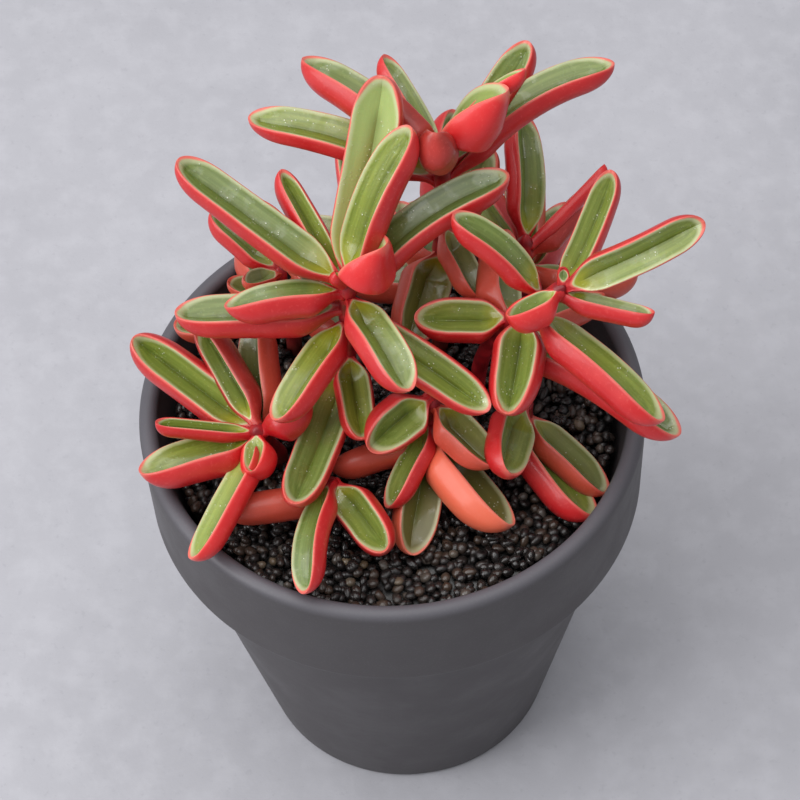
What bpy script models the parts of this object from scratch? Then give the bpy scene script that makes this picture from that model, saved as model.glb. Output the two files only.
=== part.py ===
"""A ruby glow peperomia in a charcoal flower pot, at its real size.

The origin is the middle of the pot's foot, +Z is up, and -Y is the front. Sizes are
written in millimetres and scaled to metres when a mesh is made.
"""

import math

import bmesh
import bpy
import numpy as np
from mathutils.geometry import delaunay_2d_cdt

MM = 0.001

# The pot: outside sizes, then wall and floor
RIM_RADIUS = 57.5
POT_HEIGHT = 112
BAND_HEIGHT = 27.5
BAND_FOOT_RADIUS = 57.1
SHOULDER_RADIUS = 52.2
FOOT_RADIUS = 36
WALL = 4.2
FLOOR = 5
DRAIN_RADIUS = 4
DRAIN_CIRCLE = 20
POT_STEPS = 48

# The filling: how far the grit lies below the rim, its depth, and the gap to its neighbours
GRIT_BELOW_RIM = 8
GRIT_DEPTH = 5
GRAIN_SPACING = 3.1
GRAIN_RELIEF = 0.75
GAP = 0.3
ROOT_DEPTH = 14

# Stems and leaves: stem radius at the ground and at the tip, and the petiole's half width
STEM_RADIUS = 2.0
STEM_TIP_RADIUS = 1.5
PETIOLE = 1.35
RING_STATIONS = (0.03, 0.15, 0.28, 0.48, 0.78, 0.95)

GROUND = POT_HEIGHT - GRIT_BELOW_RIM

# Shoots: points of the stem as x, y and height above the grit. Each leaf then gives how far
# below the stem's tip it is rooted, its compass bearing from +X, its rise above level, its
# length from the stem's axis and its width, then its form, twist and curl in degrees.
SHOOTS = {
    "shoot_left": {
        "stem": ((-10, 3, 0), (-9, 2, 25), (-8, -1, 54)),
        "leaves": (
            (2, 148, 28, 45, 10.5, "half", 0, -10),
            (4, 118, 30, 31, 6, "folded", 0, 0),
            (7, 67, 54, 49, 13.5, "open", 0, -10),
            (2.5, 36, 64.5, 41.5, 10.5, "half", 0, -10),
            (6, 25, 20, 43, 9.5, "half", 0, -30),
            (0.5, 315, 66, 22, 13, "half", 0, -40),
            (4, 180, 5, 26, 9.5, "half", 0, -10),
            (11, 178, -3, 38, 9.5, "half", 0, -10),
            (6, 292, 0, 24, 10.5, "half", -15, -10),
            (13, 233, -10, 28, 10, "half", 0, -15),
            (16, 323, -8, 35, 10, "half", 0, -15),
            (28, 272, -20, 21.5, 9, "half", 0, -10),
            (33, 251, -12, 37, 12, "open", 0, -10),
            (12, 122, 12, 32, 8, "half", 0, -10),
            (22, 100, -5, 30, 9, "half", 0, -10),
            (0, 200, 70, 6, 2.6, "folded", 0, 0),
        ),
    },
    "shoot_right": {
        "stem": ((19, 3, 0), (21, 1, 22), (27, -3, 40), (38, -8, 57)),
        "leaves": (
            (3, 59, 25, 30, 7, "half", 0, 0),
            (4, 14, 20, 35, 10.5, "half", 0, -5),
            (2, 338, -5, 21, 7, "folded", 0, 0),
            (1, 212, -5, 12.5, 5.5, "half", 0, 0),
            (10, 152, 44, 27, 9.5, "half", 10, -15),
            (18, 180, 0, 22, 10.5, "half", 0, -15),
            (17, 250, -20, 24, 11, "half", 0, -10),
            (15, 309, -14, 34, 10, "half", -40, -15),
            (28, 324, -9, 45, 9.5, "half", -20, -10),
            (24, 85, -5, 24, 9, "half", 0, -10),
            (34, 20, -5, 26, 9, "half", 0, -10),
            (0, 90, 70, 5, 2.6, "folded", 0, 0),
        ),
    },
    "shoot_back": {
        "stem": ((12, 22, 0), (13, 22, 35), (14, 20, 70)),
        "leaves": (
            (11, 162, 15, 45, 11, "half", 0, -25),
            (5, 137, 14, 39, 10.5, "half", 20, -10),
            (4, 118, 20, 26, 7, "half", 0, 0),
            (1, 138, 20, 17, 7, "half", 70, 0),
            (1, 235, 78, 24, 9, "folded", 0, -30),
            (1, 356, 46, 25, 12.5, "half", -40, -40),
            (5, 20, 38, 29, 7, "half", -60, -45),
            (8, 46, 32, 34, 9, "half", 0, -10),
            (13, 22, 27, 46, 10, "half", 0, -40),
            (31, 56, 30, 22, 8, "half", 0, 0),
            (25, 287, -20, 16, 8, "half", 0, -10),
            (34, 250, -20, 24, 10.5, "open", 0, -10),
            (26, 90, -5, 28, 9, "half", 0, -10),
            (40, 100, -5, 28, 9, "half", 0, -10),
            (46, 160, -8, 24, 9, "half", 0, -10),
        ),
    },
    "shoot_low_left": {
        "stem": ((-26, -8, 0), (-28, -12, 12), (-30, -16, 23)),
        "leaves": (
            (3, 145, 20, 36, 9.5, "half", 0, -10),
            (2, 122, 14, 29, 10, "folded", -55, -10),
            (10, 97, 20, 22, 8, "half", 0, 0),
            (4, 178, 10, 22, 6, "folded", 0, 0),
            (7, 192, -1, 29, 11, "half", 20, -10),
            (1, 256, 0, 11, 6, "half", 35, 0),
            (5, 243, -5, 33, 9.5, "half", 45, -10),
            (3, 350, 38, 16, 9, "half", -75, 0),
        ),
    },
    "shoot_middle": {
        "stem": ((9, -12, 0), (9, -12, 26)),
        "leaves": (
            (1, 211, -14, 19, 10, "half", 0, -10),
            (8, 234, -15, 22, 9.5, "half", 0, -10),
            (14, 254, -15, 29, 10, "half", 0, -10),
            (4, 308, -15, 17, 9, "half", 0, -10),
            (12, 306, -14, 30, 12, "open", -35, -10),
            (17, 200, 0, 19, 7, "half", 30, 0),
        ),
    },
    "shoot_front": {
        "stem": ((-15, -24.5, 0), (-16.5, -25.5, 8)),
        "leaves": (
            (2, 263.5, 15, 29, 10, "half", 0, -10),
            (1, 309, 1, 20.5, 9, "half", 20, -10),
            (3, 180, 12, 18, 8, "half", 75, 0),
        ),
    },
    "shoot_low_right": {
        "stem": ((29, -7, 0), (30, -8, 16)),
        "leaves": (
            (6, 256, -12, 19, 9.5, "half", -25, -10),
            (4, 294, -15, 28, 11, "half", -50, -10),
            (5, 326, -10, 22, 9, "half", 0, -10),
        ),
    },
    "shoot_back_right": {
        "stem": ((30, 22, 0), (32, 22, 38)),
        "leaves": (
            (2, 84, 35, 29, 9.3, "half", 25, -10),
            (3, 33, 18, 27, 5.5, "half", -70, 0),
            (6, 48, 20, 18, 8, "half", -75, 0),
            (9, 6, 6, 27, 9, "half", 0, -10),
            (10, 105, 5, 26, 9, "half", 0, -10),
            (16, 60, 0, 28, 9, "half", 0, -10),
            (22, 90, -3, 28, 9, "half", 0, -10),
        ),
    },
    "shoot_back_left": {
        "stem": ((-22, 24, 0), (-24, 26, 26)),
        "leaves": (
            (3, 149, 20, 19, 8.5, "half", 0, -10),
            (10, 166, 24, 15, 7, "half", 0, 0),
            (14, 125, 0, 24, 9, "half", 0, -10),
            (14, 200, 0, 22, 8, "half", 0, -10),
            (1, 260, 65, 12, 6, "half", 0, 0),
        ),
    },
    "shoot_rear": {
        "stem": ((-5, 42, 0), (-5, 43, 20)),
        "leaves": (
            (2, 85, 10, 22, 8, "half", 0, -10),
            (4, 165, 0, 18, 8, "half", 0, -10),
            (4, 40, 0, 22, 8, "half", 0, -10),
            (1, 250, 60, 12, 6, "half", 0, 0),
        ),
    },
}

# Cross-sections of a leaf: depth below the rim and the half width where the rim turns over,
# both as shares of the half width, and the groove's depth as a share of the leaf's depth
FORMS = {
    "open": (1.05, 0.80, 0.50),
    "half": (1.35, 0.72, 0.50),
    "folded": (1.90, 0.52, 0.45),
}


def clear_scene():
    for thing in list(bpy.data.objects):
        bpy.data.objects.remove(thing, do_unlink=True)


def new_material(name, colour, roughness):
    material = bpy.data.materials.new(name)
    material.use_nodes = True
    shader = material.node_tree.nodes["Principled BSDF"]
    shader.inputs["Base Color"].default_value = (*colour, 1)
    shader.inputs["Roughness"].default_value = roughness
    shader.inputs["Metallic"].default_value = 0
    return material


def new_object(name, mesh, collection):
    made = bpy.data.objects.new(name, mesh)
    collection.objects.link(made)
    return made


def arc(centre, radius, start, end, count):
    """Points of an arc in the r-z plane, angles in degrees."""
    turn = np.radians(np.linspace(start, end, count))
    return [(centre[0] + radius * math.cos(a), centre[1] + radius * math.sin(a)) for a in turn]


def turned(name, profile, steps, collection):
    """A closed r-z profile in millimetres, from the axis down the outside, turned about Z."""
    mesh = bpy.data.meshes.new(name)
    points = [(r * MM, 0, z * MM) for r, z in profile]
    edges = [(i, i + 1) for i in range(len(points) - 1)]
    mesh.from_pydata(points, edges, [])
    made = new_object(name, mesh, collection)
    screw = made.modifiers.new("turn", "SCREW")
    screw.steps = steps
    screw.render_steps = steps
    screw.use_merge_vertices = True
    screw.merge_threshold = 0.00001
    return made


def apply_modifiers(made):
    """Replace an object's mesh with what its modifiers make of it."""
    bpy.context.view_layer.update()
    graph = bpy.context.evaluated_depsgraph_get()
    mesh = bpy.data.meshes.new_from_object(made.evaluated_get(graph))
    made.modifiers.clear()
    made.data = mesh


def cut_with(made, cutters):
    cut = made.modifiers.new("cut", "BOOLEAN")
    cut.operation = "DIFFERENCE"
    cut.operand_type = "COLLECTION"
    cut.collection = cutters
    cut.solver = "EXACT"


def inner_radius(height):
    """Radius of the pot's straight inner wall at a height."""
    low, high = FOOT_RADIUS - WALL, RIM_RADIUS - WALL
    return low + (high - low) * (height - FLOOR) / (POT_HEIGHT - FLOOR)


def make_pot(collection, material):
    """A tapered cup with a rounded lip, a plain band under it and a soft shoulder."""
    lip = WALL / 2
    shoulder_z = POT_HEIGHT - BAND_HEIGHT
    foot_round = 2.5
    band_round = 2
    profile = [(0, FLOOR)]
    profile += [(inner_radius(FLOOR) - 3, FLOOR), (inner_radius(FLOOR + 3), FLOOR + 3)]
    profile += arc((RIM_RADIUS - lip, POT_HEIGHT - lip), lip, 180, 0, 7)
    profile += arc((BAND_FOOT_RADIUS - band_round, shoulder_z + band_round), band_round, 0, -80, 4)
    profile += [(SHOULDER_RADIUS + 0.6, shoulder_z - 1.2), (SHOULDER_RADIUS - 0.4, shoulder_z - 4)]
    profile += arc((FOOT_RADIUS - foot_round, foot_round), foot_round, -10, -90, 4)
    profile += [(0, 0)]
    pot = turned("pot", profile, POT_STEPS, collection)
    apply_modifiers(pot)
    drains = bpy.data.collections.new("drain_cutters")
    bpy.context.scene.collection.children.link(drains)
    for i in range(4):
        turn = math.radians(45 + 90 * i)
        place = (DRAIN_CIRCLE * math.cos(turn), DRAIN_CIRCLE * math.sin(turn), FLOOR / 2)
        peg(f"drain_{i}", place, DRAIN_RADIUS, FLOOR * 3, 16, drains)
    cut_with(pot, drains)
    pot.data.materials.append(material)
    pot.data.shade_smooth()
    return pot


def peg(name, middle, radius, height, sides, collection):
    """An upright round cutter, hidden from renders."""
    mesh = bpy.data.meshes.new(name)
    shape = bmesh.new()
    bmesh.ops.create_cone(
        shape,
        cap_ends=True,
        segments=sides,
        radius1=radius * MM,
        radius2=radius * MM,
        depth=height * MM,
    )
    shape.to_mesh(mesh)
    shape.free()
    made = new_object(name, mesh, collection)
    made.location = [c * MM for c in middle]
    made.hide_render = True
    made.display_type = "WIRE"
    return made


def make_holes(collection):
    """A plain hole for every stem, through the grit and into the mix below it."""
    for name, shoot in SHOOTS.items():
        x, y, _ = shoot["stem"][0]
        length = ROOT_DEPTH + 20
        place = (x, y, GROUND - ROOT_DEPTH - GAP + length / 2)
        peg(f"hole_{name}", place, STEM_RADIUS + GAP + 0.1, length, 12, collection)


def make_soil(collection, holes, material):
    """Potting mix filling the pot from its floor up to the grit."""
    low = FLOOR + GAP
    high = GROUND - GRIT_DEPTH - GAP
    rim = inner_radius(high) - 2 * GAP
    foot = inner_radius(low + 3) - 2 * GAP
    profile = [(0, high), (rim, high), (foot, low + 3), (foot - 3, low), (0, low)]
    soil = turned("soil", profile, POT_STEPS, collection)
    apply_modifiers(soil)
    cut_with(soil, holes)
    soil.data.materials.append(material)
    return soil


def make_grit(collection, holes, material):
    """The top dressing: a plate whose top is a lattice of raised grains, each a seeded height."""
    draw = np.random.default_rng(7)
    radius = inner_radius(GROUND - GRIT_DEPTH) - 2 * GAP
    reach = radius - GRAIN_SPACING * 0.6
    rows = np.arange(-reach, reach, GRAIN_SPACING * math.sqrt(3) / 2)
    points = []
    for row, y in enumerate(rows):
        shift = GRAIN_SPACING / 2 * (row % 2)
        for x in np.arange(-reach + shift, reach, GRAIN_SPACING):
            if math.hypot(x, y) < reach:
                points.append((x, y))
    points = np.array(points)
    points = points + draw.uniform(-0.35, 0.35, points.shape)
    turn = np.linspace(0, 2 * math.pi, POT_STEPS, endpoint=False)
    edge = radius * np.stack([np.cos(turn), np.sin(turn)], 1)
    heights = GROUND - GRAIN_RELIEF + draw.uniform(-1, 1, len(points)) * GRAIN_RELIEF
    bottom = GROUND - GRIT_DEPTH
    shape = bmesh.new()
    top = [shape.verts.new((x, y, z)) for (x, y), z in zip(points, heights)]
    ring = [shape.verts.new((x, y, GROUND - 2 * GRAIN_RELIEF)) for x, y in edge]
    every = top + ring
    flat = [v.co.xy for v in every]
    rim_edges = [(len(top) + i, len(top) + (i + 1) % POT_STEPS) for i in range(POT_STEPS)]
    faces = delaunay_2d_cdt(flat, rim_edges, [], 1, 1e-6)[2]
    for face in faces:
        shape.faces.new([every[i] for i in face])
    low = [shape.verts.new((v.co.x, v.co.y, bottom)) for v in ring]
    for i in range(POT_STEPS):
        j = (i + 1) % POT_STEPS
        shape.faces.new((ring[j], ring[i], low[i], low[j]))
    shape.faces.new(low[::-1])
    bmesh.ops.recalc_face_normals(shape, faces=shape.faces)
    bmesh.ops.scale(shape, vec=(MM, MM, MM), verts=shape.verts)
    mesh = bpy.data.meshes.new("grit")
    shape.to_mesh(mesh)
    shape.free()
    grit = new_object("grit", mesh, collection)
    cut_with(grit, holes)
    grit.data.materials.append(material)
    return grit


def smooth_path(points, spacing):
    """Points about a spacing apart on a Catmull-Rom curve through the given ones."""
    points = np.array(points, float)
    padded = np.vstack([2 * points[0] - points[1], points, 2 * points[-1] - points[-2]])
    path = [points[0]]
    for before, start, end, after in zip(padded, padded[1:], padded[2:], padded[3:]):
        count = max(1, round(np.linalg.norm(end - start) / spacing))
        for t in np.linspace(0, 1, count + 1)[1:]:
            bend = (2 * before - 5 * start + 4 * end - after) * t**2
            twist = (3 * start - before - 3 * end + after) * t**3
            path.append(start + 0.5 * ((end - before) * t + bend + twist))
    return np.array(path)


def stem_path(shoot):
    """The stem's axis: straight up through the soil and grit, then through its own points."""
    points = [(x, y, GROUND + height) for x, y, height in shoot["stem"]]
    x, y, z = points[0]
    above = smooth_path([(x, y, z + 2), *points[1:]], 6)
    below = np.array([(x, y, z - ROOT_DEPTH), (x, y, z - ROOT_DEPTH / 2)])
    return np.vstack([below, above])


def point_below_tip(path, drop):
    """The point on a path at a distance below its upper end."""
    back = path[::-1]
    run = np.concatenate([[0], np.cumsum(np.linalg.norm(np.diff(back, axis=0), axis=1))])
    return np.array([np.interp(drop, run, back[:, axis]) for axis in range(3)])


def make_stem(name, shoot, collection):
    """A tube along the stem's path that narrows to its tip, as a closed mesh."""
    path = stem_path(shoot)
    curve = bpy.data.curves.new(name, "CURVE")
    curve.dimensions = "3D"
    curve.bevel_depth = STEM_RADIUS * MM
    curve.bevel_resolution = 2
    curve.use_fill_caps = True
    spline = curve.splines.new("POLY")
    spline.points.add(len(path) - 1)
    share = np.linspace(1, STEM_TIP_RADIUS / STEM_RADIUS, len(path))
    for point, place, radius in zip(spline.points, path, share):
        point.co = (*(place * MM), 1)
        point.radius = radius
    tube = new_object(name + "_curve", curve, collection)
    bpy.context.view_layer.update()
    graph = bpy.context.evaluated_depsgraph_get()
    mesh = bpy.data.meshes.new_from_object(tube.evaluated_get(graph))
    shape = bmesh.new()
    shape.from_mesh(mesh)
    bmesh.ops.remove_doubles(shape, verts=shape.verts, dist=0.000001)
    shape.to_mesh(mesh)
    shape.free()
    bpy.data.objects.remove(tube, do_unlink=True)
    mesh.name = name
    return new_object(name, mesh, collection)


def leaf_outline(along, half_width):
    """Half width along a leaf: a petiole that swells smoothly, then a rounded end."""
    swell = np.clip((along - 0.06) / 0.38, 0, 1)
    swell = swell * swell * (3 - 2 * swell)
    end = np.clip((along - 0.60) / 0.40, 0, 1)
    return (PETIOLE + (half_width - PETIOLE) * swell) * np.sqrt(1 - end**2)


def leaf_axis(root, bearing, rise, length, twist, curl, along):
    """Places along a leaf's bent axis, and the directions across it and out of its upper face."""
    bearing, rise, twist, curl = np.radians([bearing, rise, twist, curl])
    ahead = np.array([np.cos(rise) * np.cos(bearing), np.cos(rise) * np.sin(bearing), np.sin(rise)])
    up = np.array([-np.sin(rise) * np.cos(bearing), -np.sin(rise) * np.sin(bearing), np.cos(rise)])
    side = np.cross(ahead, up)
    up, side = (
        up * np.cos(twist) + side * np.sin(twist),
        side * np.cos(twist) - up * np.sin(twist),
    )
    angle = curl * (along - 0.5)
    reach = np.sin(angle) + np.sin(curl / 2) if curl else along
    lift = np.cos(curl / 2) - np.cos(angle) if curl else along * 0
    scale = length / (curl if curl else 1)
    places = root + scale * (reach[:, None] * ahead + lift[:, None] * up)
    ups = np.cos(angle)[:, None] * up - np.sin(angle)[:, None] * ahead
    return places, side, ups


def leaf_rings(root, bearing, rise, length, width, form, twist, curl):
    """Cross-sections of a boat-shaped leaf, eight points each, and its tip."""
    depth_share, rim_share, groove_share = FORMS[form]
    along = np.array(RING_STATIONS)
    half = leaf_outline(along, width / 2)
    depth = half * depth_share + 0.3 * PETIOLE
    hollow = np.clip((along - 0.12) / 0.3, 0, 1) * np.clip((1 - along) / 0.08, 0, 1)
    groove = depth * groove_share * hollow - 0.15
    crest = rim_share * half
    across = np.stack([0 * half, crest, half, 0.66 * half, 0 * half, -0.66 * half, -half, -crest], 1)
    out = np.stack([-groove, 0.04 * depth, -0.34 * depth, -0.78 * depth, -depth], 1)
    out = np.concatenate([out, out[:, 3:0:-1]], 1)
    places, side, ups = leaf_axis(root, bearing, rise, length, twist, curl, np.append(along, 1))
    rings = places[:-1, None] + across[..., None] * side + out[..., None] * ups[:-1, None]
    tip = places[-1] - 0.2 * depth[-1] * ups[-1]
    return rings, tip


def make_leaf(name, root, leaf, collection):
    rings, tip = leaf_rings(root, *leaf[1:])
    shape = bmesh.new()
    rows = [[shape.verts.new(point * MM) for point in ring] for ring in rings]
    last = shape.verts.new(tip * MM)
    count = len(rows[0])
    for low, high in zip(rows, rows[1:]):
        for i in range(count):
            j = (i + 1) % count
            face = shape.faces.new((low[i], low[j], high[j], high[i]))
            face.material_index = int(i in (0, count - 1))
    for i in range(count):
        face = shape.faces.new((rows[-1][i], rows[-1][(i + 1) % count], last))
        face.material_index = int(i in (0, count - 1))
    shape.faces.new(rows[0][::-1])
    bmesh.ops.triangulate(shape, faces=shape.faces)
    bmesh.ops.recalc_face_normals(shape, faces=shape.faces)
    mesh = bpy.data.meshes.new(name)
    shape.to_mesh(mesh)
    shape.free()
    return new_object(name, mesh, collection)


def make_shoot(name, shoot, collection, materials):
    """A stem with its leaves fused on by one union."""
    stem = make_stem(name, shoot, collection)
    path = stem_path(shoot)
    leaves = bpy.data.collections.new(name + "_leaves")
    bpy.context.scene.collection.children.link(leaves)
    for i, leaf in enumerate(shoot["leaves"]):
        made = make_leaf(f"{name}_leaf_{i}", point_below_tip(path, leaf[0]), leaf, leaves)
        for material in materials:
            made.data.materials.append(material)
    for material in materials:
        stem.data.materials.append(material)
    join = stem.modifiers.new("leaves", "BOOLEAN")
    join.operation = "UNION"
    join.operand_type = "COLLECTION"
    join.collection = leaves
    join.solver = "EXACT"
    apply_modifiers(stem)
    for made in list(leaves.objects):
        bpy.data.objects.remove(made, do_unlink=True)
    bpy.data.collections.remove(leaves)
    return stem


def main():
    clear_scene()
    plant = bpy.data.collections.new("potted_peperomia")
    holes = bpy.data.collections.new("stem_hole_cutters")
    bpy.context.scene.collection.children.link(plant)
    bpy.context.scene.collection.children.link(holes)
    charcoal = new_material("charcoal_glaze", (0.045, 0.047, 0.052), 0.55)
    mix = new_material("potting_mix", (0.03, 0.022, 0.016), 0.95)
    stones = new_material("black_grit", (0.02, 0.017, 0.015), 0.35)
    ruby = new_material("ruby_underside", (0.60, 0.035, 0.04), 0.4)
    green = new_material("green_channel", (0.16, 0.26, 0.035), 0.35)
    make_pot(plant, charcoal)
    make_holes(holes)
    make_soil(plant, holes, mix)
    make_grit(plant, holes, stones)
    for name, shoot in SHOOTS.items():
        make_shoot(name, shoot, plant, (ruby, green))


main()
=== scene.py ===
"""A ruby glow peperomia in a charcoal flower pot, dressed over its CAD model.

Sizes are written in millimetres and scaled to metres when a mesh is made. The origin is
the middle of the pot's foot, +Z is up, and -Y is the front.
"""

import bpy
import numpy as np
from mathutils import Matrix
from mathutils.geometry import delaunay_2d_cdt


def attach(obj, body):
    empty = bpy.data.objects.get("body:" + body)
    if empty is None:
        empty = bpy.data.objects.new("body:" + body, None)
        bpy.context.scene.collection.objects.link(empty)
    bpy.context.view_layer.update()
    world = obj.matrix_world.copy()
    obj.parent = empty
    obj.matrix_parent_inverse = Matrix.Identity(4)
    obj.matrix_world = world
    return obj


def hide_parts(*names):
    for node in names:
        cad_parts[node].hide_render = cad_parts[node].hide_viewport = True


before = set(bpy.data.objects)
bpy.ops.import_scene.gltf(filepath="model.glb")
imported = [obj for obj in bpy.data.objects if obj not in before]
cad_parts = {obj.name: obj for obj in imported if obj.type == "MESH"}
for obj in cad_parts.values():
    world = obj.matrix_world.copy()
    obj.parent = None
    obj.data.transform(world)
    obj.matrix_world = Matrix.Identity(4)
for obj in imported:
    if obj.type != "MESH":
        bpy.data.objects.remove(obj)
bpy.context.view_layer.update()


# The pot
# A slip-cast flower pot: one tapered cup with a plain band under a rounded lip and four
# drain holes in its foot, dipped in a matt charcoal glaze that is fired once.

MM = 0.001
RIM_RADIUS = 57.5
POT_HEIGHT = 112
WALL = 4.2
FLOOR = 5
COVE = 3
LIP_HEIGHT = 3
# How far a straight stretch of the section stays from the arcs beside it
ARC_GAP = 1
FOOT_RADIUS = 36
FOOT_ROUND = 2.5
BAND_HEIGHT = 27.5
BAND_FOOT_RADIUS = 57.1
BAND_ROUND = 2
SHOULDER_RADIUS = 52.2
# Two points of the curve from under the band into the taper, out and up from the shoulder
NECK = ((0.6, -1.2), (-0.4, -4))
DRAIN_HOLES = 4
DRAIN_RADIUS = 4
DRAIN_CIRCLE = 20
DRAIN_SIDES = 24
POT_STEPS = 192


def arc(centre, radius, start, end, count):
    """Points on a circle: centre plus radius times the cosine and sine of even angles."""
    turn = np.radians(np.linspace(start, end, count))
    return np.stack([centre[0] + radius * np.cos(turn), centre[1] + radius * np.sin(turn)], 1)


def inner_radius(height):
    """Radius of the pot's inner wall: a straight line from its floor to its lip."""
    low, high = FOOT_RADIUS - WALL, RIM_RADIUS - WALL
    return low + (high - low) * (height - FLOOR) / (POT_HEIGHT - FLOOR)


def smooth_curve(points, steps):
    """Catmull-Rom curve through the points: between two of them it is the cubic that leaves
    and meets them along the lines that join their neighbours, at so many steps a stretch."""
    points = np.asarray(points, float)
    padded = np.vstack([2 * points[0] - points[1], points, 2 * points[-1] - points[-2]])
    before, start, end, after = padded[:-3], padded[1:-2], padded[2:-1], padded[3:]
    t = np.linspace(0, 1, steps, endpoint=False)[:, None, None]
    bend = (2 * before - 5 * start + 4 * end - after) * t**2
    turn = (3 * start - before - 3 * end + after) * t**3
    curve = start + 0.5 * ((end - before) * t + bend + turn)
    return np.vstack([curve.transpose(1, 0, 2).reshape(-1, points.shape[1]), points[-1]])


def turned(profile, steps):
    """A profile of (r, z) carried round the axis: (r cos a, r sin a, z), with one row of
    vertices for each profile point and a quad between neighbours in both directions."""
    a = np.linspace(0, 2 * np.pi, steps, endpoint=False)
    r, z = profile[:, :1], profile[:, 1:]
    places = np.stack([r * np.cos(a), r * np.sin(a), z + 0 * a], 2).reshape(-1, 3)
    row = np.arange(len(profile) - 1)[:, None] * steps
    here, there = np.arange(steps), (np.arange(steps) + 1) % steps
    faces = np.stack([row + here, row + there, row + steps + there, row + steps + here], 2)
    return places, faces.reshape(-1, 4)


def solid(name, places, faces, material, node=None, slot=None):
    """A smooth-shaded mesh at the origin from places in millimetres and face corners, which
    rides on the one body and replaces its CAD node. The slot is not used."""
    mesh = bpy.data.meshes.new(name)
    mesh.from_pydata(places * MM, [], faces)
    mesh.shade_smooth()
    made = bpy.data.objects.new(name, mesh)
    bpy.context.scene.collection.objects.link(made)
    mesh.materials.append(material)
    if node:
        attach(made, "root")
        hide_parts(node)
    return made


def put(tree, kind, inputs=None, **settings):
    """A shader node with its settings, each input set to a value or joined to an output."""
    made = tree.nodes.new(kind)
    for name, value in settings.items():
        setattr(made, name, value)
    for name, value in (inputs or {}).items():
        if isinstance(value, bpy.types.NodeSocket):
            tree.links.new(value, made.inputs[name])
        else:
            made.inputs[name].default_value = value
    return made


def maths(tree, operation, a, b=0.0):
    """One sum, product or the like of two numbers."""
    return put(tree, "ShaderNodeMath", {0: a, 1: b}, operation=operation).outputs[0]


def blend(tree, factor, first, second, kind="MIX"):
    """A colour between two colours."""
    made = put(
        tree,
        "ShaderNodeMix",
        {"Factor": factor, 6: first, 7: second},
        data_type="RGBA",
        blend_type=kind,
    )
    return made.outputs[2]


def spread(tree, value, low, high, to_low=0.0, to_high=1.0):
    """A number eased from one range into another and held inside it."""
    inputs = {0: value, 1: low, 2: high, 3: to_low, 4: to_high}
    return put(tree, "ShaderNodeMapRange", inputs, interpolation_type="SMOOTHSTEP").outputs[0]


def noise(tree, place, scale, detail=2.0, rough=0.5):
    """Cloudy noise from 0 to 1 at a place."""
    inputs = {"Vector": place, "Scale": scale, "Detail": detail, "Roughness": rough}
    return put(tree, "ShaderNodeTexNoise", inputs).outputs[0]


def paint(red, green, blue):
    """A colour seen on a screen, from 0 to 255, as the light that it stands for."""
    seen = np.array([red, green, blue]) / 255
    light = np.where(seen < 0.04045, seen / 12.92, ((seen + 0.055) / 1.055) ** 2.4)
    return (*light.tolist(), 1.0)


def new_material(name, **values):
    """A material with its shader's uniform values set on the shader's own sockets."""
    material = bpy.data.materials.new(name)
    material.use_nodes = True
    tree = material.node_tree
    shader = tree.nodes["Principled BSDF"]
    for key, value in values.items():
        shader.inputs[key.replace("_", " ")].default_value = value
    return material, tree, shader


def new_speckle():
    """A group that gives a fine-grained surface: cloud is broad and soft, speck is small and
    sharp, and height is grain for a bump, all from 0 to 1 at a grain size in metres."""
    group = bpy.data.node_groups.new("grainy_surface", "ShaderNodeTree")
    socket = group.interface.new_socket
    socket("Grain", in_out="INPUT", socket_type="NodeSocketFloat")
    for name in ("Cloud", "Speck", "Height"):
        socket(name, in_out="OUTPUT", socket_type="NodeSocketFloat")
    grain = put(group, "NodeGroupInput").outputs["Grain"]
    place = put(group, "ShaderNodeTexCoord").outputs["Object"]
    fine = maths(group, "DIVIDE", 1.0, grain)
    broad = maths(group, "MULTIPLY", fine, 0.04)
    specks = put(group, "ShaderNodeTexVoronoi", {"Vector": place, "Scale": fine}).outputs[0]
    results = {
        "Cloud": noise(group, place, broad, 4.0, 0.6),
        "Speck": spread(group, specks, 0.32, 0.12),
        "Height": noise(group, place, fine, 3.0, 0.6),
    }
    put(group, "NodeGroupOutput", results)
    return group


grainy_surface = new_speckle()


def grainy(tree, grain):
    """The grainy surface placed in a material at its own grain size."""
    made = put(tree, "ShaderNodeGroup", node_tree=grainy_surface)
    made.inputs["Grain"].default_value = grain
    return made.outputs


charcoal, tree, shader = new_material("matt_charcoal_glaze")
grain = grainy(tree, 0.0007)
place = put(tree, "ShaderNodeTexCoord").outputs["Object"]
height = put(tree, "ShaderNodeSeparateXYZ", {0: place}).outputs["Z"]
body = blend(tree, grain["Cloud"], paint(64, 61, 63), paint(76, 73, 75))
body = blend(tree, maths(tree, "MULTIPLY", grain["Speck"], 0.12), body, paint(116, 114, 118))
# Lighter and bluer round the top of the lip: partly rubbed wear, partly a painted highlight
lip_wear_and_highlight = spread(tree, height, 0.1095, 0.112)
body = blend(tree, maths(tree, "MULTIPLY", lip_wear_and_highlight, 0.35), body, paint(118, 118, 128))
tree.links.new(body, shader.inputs["Base Color"])
tree.links.new(spread(tree, grain["Cloud"], 0.3, 0.7, 0.46, 0.6), shader.inputs["Roughness"])
turning = put(
    tree,
    "ShaderNodeTexWave",
    {"Vector": place, "Scale": 90.0, "Distortion": 1.5, "Detail": 1.0},
    bands_direction="Z",
).outputs[1]
relief = maths(tree, "ADD", grain["Height"], maths(tree, "MULTIPLY", turning, 0.15))
glaze = put(tree, "ShaderNodeBump", {"Strength": 0.35, "Distance": 0.00008, "Height": relief})
tree.links.new(glaze.outputs[0], shader.inputs["Normal"])


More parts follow.
